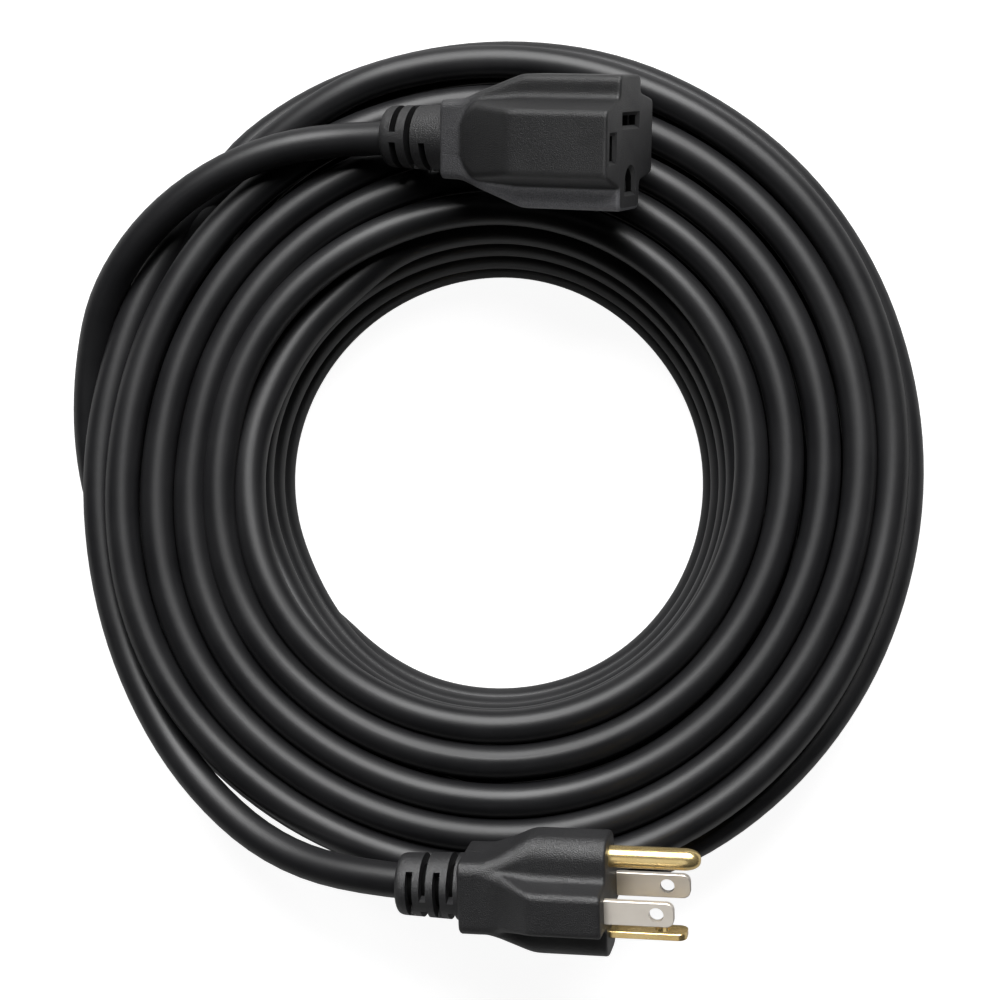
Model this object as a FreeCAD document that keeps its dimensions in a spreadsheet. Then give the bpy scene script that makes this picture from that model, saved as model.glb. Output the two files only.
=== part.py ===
import FreeCAD, Part
import math
import os
import re

from FreeCAD import Placement, Rotation, Vector

# A coiled power cord: a moulded four-blade plug at one end, a moulded connector with four
# contacts at the other, and the cord between them wound into a flat ring of five layers.
# Each moulding is drawn in its own frame, along x from the cord towards its face, and is then
# laid on the coil. Lengths are in millimetres and angles in degrees.

SIZES = {
    # the cord and its four cores
    "cord_diameter": 7.8,
    "core_diameter": 2.2,
    "copper_diameter": 1.2,
    "core_spread": 1.75,
    "fit_gap": 0.05,
    # the coil
    "coil_x": 1.1,
    "coil_y": 4.9,
    "coil_layers": 5,
    "layer_rise": 7.3,
    "turn_edge_radius": 3.7,
    "hole_radius_low": 49.2,
    "hole_radius_high": 53.5,
    "ring_radius": 89.0,
    "outer_turn_step": 11.5,
    "outer_turn_start": 272.0,
    "outer_turn_sweep": 216.0,
    "outer_turn_foot": 5.0,
    "front_turn_step": 6.3,
    "front_turn_start": 222.0,
    "front_turn_sweep": 52.0,
    "riding_turn_radius": 76.0,
    "riding_turn_start": 62.0,
    "riding_turn_sweep": 34.0,
    "riding_turn_height": -0.7,
    "tuck_step": 5.6,
    "plug_join_step": 5.3,
    "tuck_height": 13.9,
    "tuck_start": 194.0,
    "tuck_sweep": 34.0,
    "plug_join_height": 25.8,
    # how each moulding lies on the coil
    "plug_tail_x": -20.0,
    "plug_tail_y": -94.1,
    "plug_yaw": -2.7,
    "plug_tilt": 9.5,
    "plug_roll": 18.8,
    "connector_tail_x": -23.6,
    "connector_tail_y": 75.1,
    "connector_yaw": -7.6,
    "connector_tilt": 19.0,
    "connector_roll": 18.5,
    "lead_straight": 6.0,
    "rest_gap": 0.15,
    # the pattern of the plug's four poles, and of the connector's three
    "blade_pitch": 17.0,
    "ground_offset": 9.6,
    "neutral_offset": 7.4,
    "socket_neutral_y": 4.9,
    "socket_ground_y": -8.5,
    "socket_line_y": -0.9,
    "socket_line_z": 9.3,
    "pin_diameter": 4.8,
    "pin_root_diameter": 4.0,
    "pin_length": 19.8,
    "blade_width": 6.35,
    "blade_thickness": 1.52,
    "blade_length": 16.6,
    "blade_hole_diameter": 3.2,
    "blade_hole_place": 11.2,
    "blade_tip_radius": 1.4,
    "crimp_diameter": 3.2,
    "crimp_length": 5.0,
    "crimp_bore_depth": 4.0,
    "strip_length": 1.0,
    "wire_straight": 1.0,
    "pin_tip_radius": 2.1,
    # the plug's moulding
    "plug_relief_length": 14.6,
    "plug_relief_tail_radius": 6.6,
    "plug_relief_radius": 7.0,
    "plug_neck_length": 10.0,
    "plug_neck_width": 14.6,
    "plug_neck_depth": 16.2,
    "plug_flare_length": 6.8,
    "plug_body_length": 15.6,
    "plug_width": 26.0,
    "plug_slab_depth": 11.4,
    "plug_depth": 28.4,
    "plug_ridge_foot": 16.4,
    "plug_ridge_crest": 9.4,
    "plug_front_wall": 1.6,
    "plug_block_length": 8.4,
    "plug_block_width": 23.4,
    "plug_block_slab_depth": 9.2,
    "plug_block_depth": 22.0,
    "plug_jacket_grip": 4.5,
    # the connector's moulding
    "connector_relief_length": 15.2,
    "connector_relief_tail_radius": 6.8,
    "connector_relief_radius": 7.3,
    "connector_neck_length": 4.9,
    "connector_neck_width": 17.8,
    "connector_neck_depth": 15.4,
    "connector_flare_length": 13.0,
    "connector_body_length": 25.6,
    "connector_width": 29.6,
    "connector_slab_depth": 13.4,
    "connector_depth": 30.0,
    "connector_ridge_foot": 20.5,
    "connector_ridge_crest": 14.0,
    "connector_front_wall": 2.0,
    "connector_block_length": 19.0,
    "connector_block_width": 25.2,
    "connector_block_slab_depth": 9.0,
    "connector_block_depth": 24.4,
    "connector_jacket_grip": 4.0,
    # what the two mouldings share
    "block_column_width": 10.4,
    "chamber_end_width": 7.0,
    "chamber_margin": 0.6,
    "chamber_ramp": 0.52,
    "relief_first_slot": 2.5,
    "relief_slot_pitch": 3.1,
    "relief_slot_width": 1.6,
    "relief_floor_radius": 5.0,
    "relief_bridge": 3.4,
    "relief_mouth_gap": 0.45,
    "relief_mouth_length": 7.0,
    # the connector's contacts and openings
    "leaf_thickness": 0.5,
    "leaf_gap": 1.4,
    "leaf_width": 6.6,
    "leaf_length": 14.0,
    "contact_base": 1.0,
    "pocket_length": 17.0,
    "pocket_width": 7.2,
    "pocket_depth": 4.0,
    "sleeve_bore": 4.9,
    "sleeve_diameter": 6.1,
    "sleeve_split": 0.8,
    "ground_pocket_diameter": 6.8,
    "line_slot_length": 6.6,
    "neutral_slot_length": 9.2,
    "slot_width": 2.4,
    "arch_width": 5.4,
    "arch_height": 5.2,
    "mouth_bevel": 0.8,
}

doc = FreeCAD.newDocument("power_cord")
sheet = doc.addObject("Spreadsheet::Sheet", "sizes")
for row, (alias, value) in enumerate(SIZES.items(), 1):
    sheet.set(f"A{row}", alias)
    sheet.set(f"B{row}", str(value))
    sheet.setAlias(f"B{row}", alias)
doc.recompute()

ALONG_X = Rotation(Vector(0, 1, 0), 90)
ALONG_Y = Rotation(Vector(1, 0, 0), -90)
TAPER_ALONG_X = Rotation(Vector(0, 0, 1), -90)
RISING_ALONG_Z = Rotation(Vector(1, 1, 1), 120)
nodes = {}


def size(alias):
    """A size as the sheet holds it."""
    return float(getattr(sheet, alias))


def cells(formula):
    """A formula with the name of each size turned into its cell."""
    def cell(word):
        return f"sizes.{word[0]}" if word[0] in SIZES else word[0]

    return re.sub(r"[a-z][a-z_]+", cell, formula)


def bind(thing, **formulas):
    """Ties properties to formulas; place_x and its like are the placement's own numbers."""
    for name, formula in formulas.items():
        thing.setExpression(name.replace("place_", "Placement.Base."), cells(formula))
    return thing


def span(width, centre="0"):
    """The two ends of a width about a centre."""
    return f"{centre} - ({width}) / 2", f"{centre} + ({width}) / 2"


def block(name, x, y, z):
    """A box that runs between two formulas along each axis."""
    solid = doc.addObject("Part::Box", name)
    bind(solid, place_x=x[0], place_y=y[0], place_z=z[0])
    return bind(
        solid,
        Length=f"({x[1]}) - ({x[0]})",
        Width=f"({y[1]}) - ({y[0]})",
        Height=f"({z[1]}) - ({z[0]})",
    )


def rod(name, diameter, x, y="0", z="0"):
    """A cylinder along x."""
    solid = doc.addObject("Part::Cylinder", name)
    solid.Placement = Placement(Vector(), ALONG_X)
    bind(solid, Radius=f"({diameter}) / 2", Height=f"({x[1]}) - ({x[0]})")
    return bind(solid, place_x=x[0], place_y=y, place_z=z)


def cone(name, diameters, x, y="0", z="0"):
    """A cone along x, with its diameter at each end."""
    solid = doc.addObject("Part::Cone", name)
    solid.Placement = Placement(Vector(), ALONG_X)
    bind(solid, Radius1=f"({diameters[0]}) / 2", Radius2=f"({diameters[1]}) / 2")
    bind(solid, Height=f"({x[1]}) - ({x[0]})")
    return bind(solid, place_x=x[0], place_y=y, place_z=z)


def taper(name, x, start, end):
    """A block along x whose section changes; start and end are its y pair and z pair there."""
    solid = doc.addObject("Part::Wedge", name)
    solid.Placement = Placement(Vector(), TAPER_ALONG_X)
    bind(solid, Ymin=x[0], Ymax=x[1])
    bind(solid, Xmin=f"-({start[0][1]})", Xmax=f"-({start[0][0]})", Zmin=start[1][0], Zmax=start[1][1])
    return bind(solid, X2min=f"-({end[0][1]})", X2max=f"-({end[0][0]})", Z2min=end[1][0], Z2max=end[1][1])


def ridge(name, z, low, high):
    """A block that changes as it rises; low and high are its x pair and y pair there."""
    solid = doc.addObject("Part::Wedge", name)
    solid.Placement = Placement(Vector(), RISING_ALONG_Z)
    bind(solid, Ymin=z[0], Ymax=z[1])
    bind(solid, Zmin=low[0][0], Zmax=low[0][1], Xmin=low[1][0], Xmax=low[1][1])
    return bind(solid, Z2min=high[0][0], Z2max=high[0][1], X2min=high[1][0], X2max=high[1][1])


def fuse(name, *solids):
    """One solid made of several."""
    joined = doc.addObject("Part::MultiFuse", name)
    joined.Shapes = list(solids)
    return joined


def cut(name, base, *tools):
    """A solid less one or more others."""
    left = doc.addObject("Part::Cut", name)
    left.Base = base
    left.Tool = tools[0] if len(tools) == 1 else fuse(f"{name}_tools", *tools)
    return left


def rounded(name, base, radius, wanted):
    """A solid with those edges rounded that pass a test of their middle and direction."""
    doc.recompute()
    piece = doc.addObject("Part::Fillet", name)
    piece.Base = base
    chosen = []
    for number, edge in enumerate(base.Shape.Edges, 1):
        middle = edge.valueAt((edge.FirstParameter + edge.LastParameter) / 2)
        along = edge.tangentAt((edge.FirstParameter + edge.LastParameter) / 2)
        if wanted(middle, along):
            chosen.append((number, radius, radius))
    piece.Edges = chosen
    return piece


def keep(label, piece, placement=Placement()):
    """Names a finished piece and lays it in its place."""
    doc.recompute()
    piece.Label = label
    piece.Placement = placement * piece.Placement
    nodes[label] = piece


# Where the mouldings lie
coil_top = size("cord_diameter") + (size("coil_layers") - 1) * size("layer_rise")
coil_centre = Vector(size("coil_x"), size("coil_y"), 0)


def lie(end):
    """The placement of a moulding that rests on the coil with its tail over a chosen spot."""
    turn = Rotation(Vector(0, 0, 1), size(f"{end}_yaw"))
    turn = turn * Rotation(Vector(0, 1, 0), -size(f"{end}_tilt"))
    turn = turn * Rotation(Vector(1, 0, 0), size(f"{end}_roll"))
    heel = size(f"{end}_relief_length") + size(f"{end}_neck_length") + size(f"{end}_flare_length")
    half_crest = size(f"{end}_ridge_crest") / 2
    half_depth = size(f"{end}_depth") / 2
    heels = [turn.multVec(Vector(heel, y, -half_depth)).z for y in (-half_crest, half_crest)]
    tail = -size(f"{end}_relief_tail_radius") * math.cos(math.radians(size(f"{end}_tilt")))
    height = coil_top + size("rest_gap") - min(heels + [tail])
    spot = Vector(size(f"{end}_tail_x"), size(f"{end}_tail_y"), height)
    return Placement(coil_centre + spot, turn)


def lengthwise(end):
    """Formulas for the places along a moulding's own x."""
    relief = f"{end}_relief_length"
    neck = f"{relief} + {end}_neck_length"
    flare = f"{neck} + {end}_flare_length"
    face = f"{flare} + {end}_body_length"
    block_front = f"{face} - {end}_front_wall"
    block_back = f"{block_front} - {end}_block_length"
    crimp = f"{block_back} - crimp_length"
    jacket = f"{relief} + {end}_jacket_grip"
    return dict(
        relief=relief,
        neck=neck,
        flare=flare,
        face=face,
        block_front=block_front,
        block_back=block_back,
        crimp=crimp,
        jacket=jacket,
    )


# Where the poles are across each moulding, as y and z
PLUG_POLES = {
    "ground": ("(neutral_offset + ground_offset) / 2", "0"),
    "neutral": ("-(neutral_offset + ground_offset) / 2", "0"),
    "line_x": ("(neutral_offset - ground_offset) / 2", "blade_pitch / 2"),
    "line_y": ("(neutral_offset - ground_offset) / 2", "-blade_pitch / 2"),
}
CONNECTOR_POLES = {
    "ground": ("socket_ground_y", "0"),
    "neutral": ("socket_neutral_y", "0"),
    "line_x": ("socket_line_y", "socket_line_z"),
}


# The mouldings' outsides, chambers and inner bodies
def outside(end, at):
    """A neck that flares into a slab with a sloping ridge on both broad sides."""
    neck = (span(f"{end}_neck_width"), span(f"{end}_neck_depth"))
    slab = (span(f"{end}_width"), span(f"{end}_slab_depth"))
    crest = span(f"{end}_ridge_crest")
    foot = span(f"{end}_ridge_foot")
    column = (crest, span(f"{end}_depth"))
    low = ((at["neck"], at["face"]), foot)
    high = ((at["flare"], at["face"]), crest)
    half_slab = f"{end}_slab_depth / 2"
    half_depth = f"{end}_depth / 2"
    return fuse(
        f"{end}_outside",
        block(f"{end}_neck", (at["relief"], at["neck"]), *neck),
        taper(f"{end}_slab_flare", (at["neck"], at["flare"]), neck, slab),
        taper(f"{end}_ridge_flare", (at["neck"], at["flare"]), neck, column),
        block(f"{end}_slab", (at["flare"], at["face"]), *slab),
        ridge(f"{end}_upper_ridge", (half_slab, half_depth), low, high),
        ridge(f"{end}_lower_ridge", (f"-{half_depth}", f"-{half_slab}"), high, low),
    )


def cross(name, x, end, less="0"):
    """The inner body's outline between two places: a slab and a column through it."""
    wide = (span(f"{end}_block_width - 2 * {less}"), span(f"{end}_block_slab_depth - 2 * {less}"))
    tall = (span(f"block_column_width - 2 * {less}"), span(f"{end}_block_depth - 2 * {less}"))
    return [block(f"{name}_slab", x, *wide), block(f"{name}_column", x, *tall)]


def chamber(end, at):
    """The room in which the four wires spread from the cord to the crimps."""
    start = (span("chamber_end_width"), span("chamber_end_width"))
    ramp = f"{at['jacket']} + chamber_ramp * ({at['block_back']} - ({at['jacket']}))"
    less = "2 * chamber_margin"
    wide = (span(f"{end}_block_width - {less}"), span(f"{end}_block_slab_depth - {less}"))
    tall = (span(f"block_column_width - {less}"), span(f"{end}_block_depth - {less}"))
    return [
        taper(f"{end}_chamber_slab_ramp", (at["jacket"], ramp), start, wide),
        taper(f"{end}_chamber_column_ramp", (at["jacket"], ramp), start, tall),
        *cross(f"{end}_chamber", (ramp, at["block_back"]), end, "chamber_margin"),
    ]


def jacket_bore(end, at):
    """The bore for the end of the cord's jacket."""
    return rod(f"{end}_jacket_bore", "cord_diameter + 2 * fit_gap", (at["relief"], at["jacket"]))


def strain_relief(end, at, rings):
    """A tapered sleeve with rings of slots; each ring leaves bridges on two sides."""
    sleeve = cone(
        f"{end}_relief_sleeve",
        (f"2 * {end}_relief_tail_radius", f"2 * {end}_relief_radius"),
        ("0", at["relief"]),
    )
    bore = "cord_diameter + 2 * fit_gap"
    mouth = f"{bore} + 2 * relief_mouth_gap"
    tools = [
        rod(f"{end}_relief_bore", bore, ("0", at["relief"])),
        cone(f"{end}_relief_bell", (mouth, bore), ("0", "relief_mouth_length")),
    ]
    for number, bridge in enumerate(rings):
        start = f"relief_first_slot + {number} * relief_slot_pitch"
        x = (start, f"{start} + relief_slot_width")
        name = f"{end}_slot_{number + 1}"
        around = rod(f"{name}_ring", f"2 * {end}_relief_radius + relief_slot_width", x)
        floor = rod(f"{name}_floor", "2 * relief_floor_radius", x)
        across = span(f"3 * {end}_relief_radius")
        sides = (across, span("relief_bridge")) if bridge == "y" else (span("relief_bridge"), across)
        tools.append(cut(name, around, fuse(f"{name}_left", floor, block(f"{name}_bridge", x, *sides))))
    return cut(f"{end}_relief", sleeve, *tools)


def flat_section(name, x, pole, width, depth, wide_along):
    """A flat bar through a pole, its width along y or along z."""
    y, z = pole
    if wide_along == "y":
        return block(name, x, span(width, y), span(depth, z))
    return block(name, x, span(depth, y), span(width, z))


def crimp(name, x, pole):
    """A barrel that closes on a wire's copper."""
    barrel = rod(f"{name}_barrel", "crimp_diameter", x, *pole)
    bore = rod(f"{name}_bore", "copper_diameter", (x[0], f"{x[0]} + crimp_bore_depth"), *pole)
    return barrel, bore


def bend(start, end, x_start, x_bent, x_end):
    """A wire's line between two points across the moulding: straight, two arcs and straight."""
    across = end - start
    shift = across.Length
    side = across / shift
    first = Vector(x_start + size("wire_straight"), 0, 0) + start
    last = Vector(x_bent, 0, 0) + end
    length = last.x - first.x
    radius = (length**2 + shift**2) / (4 * shift)
    half = math.asin(length / 2 / radius) / 2

    def on_first(turned):
        return first + Vector(radius * math.sin(turned), 0, 0) + side * radius * (1 - math.cos(turned))

    middle = (first + last) / 2
    bulge = on_first(half)
    return Part.Wire(
        [
            Part.LineSegment(Vector(x_start, 0, 0) + start, first).toShape(),
            Part.Arc(first, bulge, middle).toShape(),
            Part.Arc(middle, first + last - bulge, last).toShape(),
            Part.LineSegment(last, Vector(x_end, 0, 0) + end).toShape(),
        ]
    )


def tube(line, diameter):
    """A solid round bar along a line."""
    start = line.OrderedEdges[0]
    first = start.FirstParameter
    ring = Part.Circle(start.valueAt(first), start.tangentAt(first), diameter / 2)
    sweep = Part.BRepOffsetAPI.MakePipeShell(line)
    sweep.add(Part.Wire(ring.toShape()))
    sweep.build()
    sweep.makeSolid()
    return sweep.shape()


def wires(end, placement, starts):
    """The four insulated wires and their copper, from the jacket's end to the crimps."""
    jacket = size(f"{end}_relief_length") + size(f"{end}_jacket_grip")
    face = (
        size(f"{end}_relief_length")
        + size(f"{end}_neck_length")
        + size(f"{end}_flare_length")
        + size(f"{end}_body_length")
    )
    mouth = face - size(f"{end}_front_wall") - size(f"{end}_block_length") - size("crimp_length")
    inside = mouth + size("crimp_bore_depth")
    bare = mouth - size("strip_length")
    bent = bare - size("wire_straight")
    for pole, (start, finish) in starts.items():
        copper_line = bend(start, finish, jacket, bent, inside)
        cover_line = bend(start, finish, jacket, bent, bare)
        copper = doc.addObject("Part::Feature", f"{end}_copper_{pole}")
        copper.Shape = tube(copper_line, size("copper_diameter"))
        cover = doc.addObject("Part::Feature", f"{end}_wire_{pole}")
        core = tube(cover_line, size("copper_diameter"))
        cover.Shape = tube(cover_line, size("core_diameter")).cut(core)
        keep(f"{end}_copper_{pole}", copper, placement)
        keep(f"{end}_wire_{pole}", cover, placement)


def wire_ends(side, ends):
    """Where each wire starts at the jacket and where it ends behind its pole, across the moulding."""
    spread = size("core_spread")
    starts = {
        "ground": Vector(0, spread * side, 0),
        "neutral": Vector(0, -spread * side, 0),
        "line_x": Vector(0, 0, spread),
        "line_y": Vector(0, 0, -spread),
    }
    return {which: (starts[which], Vector(0, *across)) for which, across in ends.items()}


# The plug
at = lengthwise("plug")
pole = PLUG_POLES
plug_place = lie("plug")
wide_along = {"neutral": "z", "line_x": "y", "line_y": "y"}


def blade_bar(name, x, which):
    """The bar of one blade between two places."""
    return flat_section(name, x, pole[which], "blade_width", "blade_thickness", wide_along[which])


def plug_openings(name, x):
    """The three slots and the round hole that the blades and the pin fill."""
    slots = [blade_bar(f"{name}_{which}", x, which) for which in wide_along]
    return slots + [rod(f"{name}_ground", "pin_root_diameter", x, *pole["ground"])]


bridge_x = (at["block_back"], at["block_front"])
keep(
    "plug_overmould",
    cut(
        "plug_cover",
        outside("plug", at),
        jacket_bore("plug", at),
        *chamber("plug", at),
        *cross("plug_bridge_pocket", bridge_x, "plug"),
        *plug_openings("plug_front", (at["block_front"], f"{at['face']} + plug_front_wall")),
    ),
    plug_place,
)
bridge_body = fuse("plug_bridge_body", *cross("plug_bridge", bridge_x, "plug"))
bridge_slots = plug_openings("plug_bridge_slots", bridge_x)
keep("plug_inner_bridge", cut("plug_bridge", bridge_body, *bridge_slots), plug_place)
keep("plug_strain_relief", strain_relief("plug", at, ["y", "z", "y", "z"]), plug_place)

tip = f"{at['face']} + blade_length"
tip_place = (
    size("plug_relief_length")
    + size("plug_neck_length")
    + size("plug_flare_length")
    + size("plug_body_length")
    + size("blade_length")
)
for which, wide in wide_along.items():
    bar = blade_bar(f"blade_{which}_bar", (at["block_back"], tip), which)
    thin = Vector(0, 0, 1) if wide == "y" else Vector(0, 1, 0)
    bar = rounded(
        f"blade_{which}_rounded",
        bar,
        size("blade_tip_radius"),
        lambda middle, along: middle.x > tip_place - 0.01 and abs(along.dot(thin)) > 0.9,
    )
    barrel, bore = crimp(f"blade_{which}", (at["crimp"], at["block_back"]), pole[which])
    hole = doc.addObject("Part::Cylinder", f"blade_{which}_hole")
    bind(hole, Radius="blade_hole_diameter / 2", Height="2 * blade_width")
    bind(hole, place_x=f"{at['face']} + blade_hole_place")
    y, z = pole[which]
    if wide == "y":
        bind(hole, place_y=y, place_z=f"{z} - blade_width")
    else:
        hole.Placement.Rotation = ALONG_Y
        bind(hole, place_y=f"{y} - blade_width", place_z=z)
    joined = fuse(f"blade_{which}_whole", bar, barrel)
    keep(f"plug_blade_{which}", cut(f"blade_{which}", joined, bore, hole), plug_place)

pin = rod("ground_pin_bar", "pin_diameter", (at["face"], f"{at['face']} + pin_length"), *pole["ground"])
pin_tip = tip_place - size("blade_length") + size("pin_length")
tip_edges = lambda middle, along: middle.x > pin_tip - 0.01
pin = rounded("ground_pin_rounded", pin, size("pin_tip_radius"), tip_edges)
root = rod("ground_pin_root", "pin_root_diameter", (at["block_back"], at["face"]), *pole["ground"])
barrel, bore = crimp("ground_pin", (at["crimp"], at["block_back"]), pole["ground"])
keep("plug_ground_pin", cut("ground_pin", fuse("ground_pin_whole", pin, root, barrel), bore), plug_place)
far = (size("neutral_offset") + size("ground_offset")) / 2
near = (size("neutral_offset") - size("ground_offset")) / 2
half_pitch = size("blade_pitch") / 2
plug_wire_ends = {
    "ground": (far, 0),
    "neutral": (-far, 0),
    "line_x": (near, half_pitch),
    "line_y": (near, -half_pitch),
}
wires("plug", plug_place, wire_ends(1, plug_wire_ends))

# The connector
at = lengthwise("connector")
pole = CONNECTOR_POLES
wide_along = {"neutral": "z", "line_x": "y"}
slot_length = {"neutral": "neutral_slot_length", "line_x": "line_slot_length"}
connector_place = lie("connector")
body_x = (at["block_back"], at["block_front"])
pocket_back = f"{at['block_front']} - pocket_length"
front_x = (at["block_front"], at["face"])
mouth_x = (f"{at['face']} - mouth_bevel", at["face"])
sleeve_x = (pocket_back, at["block_front"])


def slot_opening(which):
    """A slot through the front wall with a bevelled mouth."""
    name = f"connector_slot_{which}"
    y, z = pole[which]
    length = (slot_length[which], "slot_width")
    if wide_along[which] == "z":
        length = ("slot_width", slot_length[which])
    inner = (span(length[0], y), span(length[1], z))
    outer = (span(f"{length[0]} + 2 * mouth_bevel", y), span(f"{length[1]} + 2 * mouth_bevel", z))
    return [block(name, front_x, *inner), taper(f"{name}_mouth", mouth_x, inner, outer)]


def arch_opening():
    """The ground's opening: a half round on a straight foot, with a bevelled mouth."""
    y, z = pole["ground"]
    low = f"{y} + arch_width / 2 - arch_height"
    inner = ((low, y), span("arch_width", z))
    outer = ((f"{low} - mouth_bevel", y), span("arch_width + 2 * mouth_bevel", z))
    return [
        rod("arch_dome", "arch_width", front_x, y, z),
        block("arch_foot", front_x, *inner),
        cone("arch_dome_mouth", ("arch_width", "arch_width + 2 * mouth_bevel"), mouth_x, y, z),
        taper("arch_foot_mouth", mouth_x, inner, outer),
    ]


keep(
    "connector_overmould",
    cut(
        "connector_cover",
        outside("connector", at),
        jacket_bore("connector", at),
        *chamber("connector", at),
        *cross("connector_body_pocket", body_x, "connector"),
        *[tool for which in wide_along for tool in slot_opening(which)],
        *arch_opening(),
    ),
    connector_place,
)
pockets = [
    flat_section(f"pocket_{which}", sleeve_x, pole[which], "pocket_width", "pocket_depth", wide)
    for which, wide in wide_along.items()
]
passages = [
    rod(f"passage_{which}", "crimp_diameter", (at["block_back"], pocket_back), *place)
    for which, place in pole.items()
]
keep(
    "connector_inner_body",
    cut(
        "connector_body",
        fuse("connector_body_whole", *cross("connector_body", body_x, "connector")),
        rod("pocket_ground", "ground_pocket_diameter", sleeve_x, *pole["ground"]),
        *pockets,
        *passages,
    ),
    connector_place,
)
keep("connector_strain_relief", strain_relief("connector", at, ["z", "y", "z"]), connector_place)

contact_depth = "leaf_gap + 2 * leaf_thickness"
base_front = f"{pocket_back} + contact_base"
leaf_front = f"{base_front} + leaf_length"
for which, wide in wide_along.items():
    name = f"contact_{which}"
    stock = flat_section(name, (pocket_back, leaf_front), pole[which], "leaf_width", contact_depth, wide)
    gap_x = (base_front, leaf_front)
    inside = flat_section(f"{name}_gap", gap_x, pole[which], "leaf_width", "leaf_gap", wide)
    barrel, bore = crimp(name, (at["crimp"], pocket_back), pole[which])
    whole = fuse(f"{name}_whole", stock, barrel)
    keep(f"connector_{name}", cut(f"{name}_piece", whole, inside, bore), connector_place)
stock = rod("sleeve_stock", "sleeve_diameter", (pocket_back, leaf_front), *pole["ground"])
inside = rod("sleeve_inside", "sleeve_bore", (base_front, leaf_front), *pole["ground"])
split = block(
    "sleeve_split",
    (base_front, leaf_front),
    span("sleeve_split", pole["ground"][0]),
    (pole["ground"][1], "sleeve_diameter"),
)
barrel, bore = crimp("sleeve", (at["crimp"], pocket_back), pole["ground"])
whole = fuse("sleeve_whole", stock, barrel)
keep("connector_ground_sleeve", cut("sleeve", whole, inside, split, bore), connector_place)
connector_wire_ends = {
    "ground": (size("socket_ground_y"), 0),
    "neutral": (size("socket_neutral_y"), 0),
    "line_x": (size("socket_line_y"), size("socket_line_z")),
}
wires("connector", connector_place, wire_ends(-1, connector_wire_ends))


# The coil: a ring, its wider outer turns on one side, and the turns that lie proud of it
top = "(cord_diameter + (coil_layers - 1) * layer_rise)"


def upright(name, radius, foot, start="0", sweep="360"):
    """A sector of a disc about the coil's middle up to its top, its outer edges as round as the cord."""
    disc = doc.addObject("Part::Cylinder", name)
    bind(disc, Radius=radius, Height=f"{top} - ({foot})", Angle=sweep, place_z=foot)
    disc.Placement.Rotation = Rotation(Vector(0, 0, 1), size(start) if start in SIZES else 0)
    doc.recompute()
    edge = disc.Radius.Value
    return rounded(
        f"{name}_rounded",
        disc,
        size("turn_edge_radius"),
        lambda middle, along: abs(along.z) < 0.1 and math.hypot(middle.x, middle.y) > edge - 0.01,
    )


def turn_of_cord(name, radius, height, start, sweep):
    """A stretch of one turn of cord about the coil's middle."""
    turn = doc.addObject("Part::Torus", name)
    turn.Placement = Placement(Vector(), Rotation(Vector(0, 0, 1), size(start)))
    return bind(turn, Radius1=radius, Radius2="cord_diameter / 2", Angle3=sweep, place_z=height)


hole = doc.addObject("Part::Cone", "coil_hole")
bind(hole, Radius1="hole_radius_low", Radius2="hole_radius_high", Height=top)
outer_turns = ("ring_radius + outer_turn_step", "outer_turn_foot", "outer_turn_start", "outer_turn_sweep")
front_turns = ("ring_radius + front_turn_step", "fit_gap", "front_turn_start", "front_turn_sweep")
riding_height = f"{top} + riding_turn_height"
riding_turn = ("riding_turn_radius", riding_height, "riding_turn_start", "riding_turn_sweep")
tucked_turn = ("ring_radius + tuck_step", "tuck_height", "tuck_start", "tuck_sweep")
wound = fuse(
    "coil_whole",
    upright("coil_ring", "ring_radius", "0"),
    upright("outer_turns", *outer_turns),
    upright("front_turns", *front_turns),
    turn_of_cord("riding_turn", *riding_turn),
    turn_of_cord("tucked_turn", *tucked_turn),
)
coil = cut("coil", wound, hole)
keep("cord_coil", coil, Placement(coil_centre, Rotation()))


# The cord from the coil to each moulding
bend_radii = []


def smooth(points):
    """Straight runs between points, joined by an arc at each as large as its two runs allow."""
    edges = []
    here = points[0]
    radii = []
    for before, corner, after in zip(points, points[1:], points[2:]):
        into = (corner - before).normalize()
        out = (after - corner).normalize()
        turn = into.getAngle(out)
        reach = 0.45 * min((corner - before).Length, (after - corner).Length)
        radius = reach / math.tan(turn / 2)
        radii.append(round(radius))
        start = corner - into * reach
        finish = corner + out * reach
        inward = (out - into).normalize()
        bulge = corner + inward * radius * (1 / math.cos(turn / 2) - 1)
        edges.append(Part.LineSegment(here, start).toShape())
        edges.append(Part.Arc(start, bulge, finish).toShape())
        here = finish
    edges.append(Part.LineSegment(here, points[-1]).toShape())
    bend_radii.append(radii)
    return Part.Wire(edges)


def on_ring(step, angle, height):
    """A point beside the coil's ring, a step out from its edge."""
    turned = math.radians(angle)
    radius = size("ring_radius") + step
    return coil_centre + Vector(radius * math.cos(turned), radius * math.sin(turned), height)


def lead(end, placement, route, finish):
    """The cord from its end inside a moulding, by a route about the coil's middle, to the coil."""
    jacket = size(f"{end}_relief_length") + size(f"{end}_jacket_grip")
    clear = -size("lead_straight")
    points = [placement.multVec(Vector(jacket, 0, 0)), placement.multVec(Vector(clear, 0, 0))]
    points += [coil_centre + Vector(*point) for point in route] + [finish]
    line = smooth(points)
    piece = doc.addObject("Part::Feature", f"{end}_lead")
    piece.Shape = tube(line, size("cord_diameter"))
    keep(f"cord_lead_{end}", piece)


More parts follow.
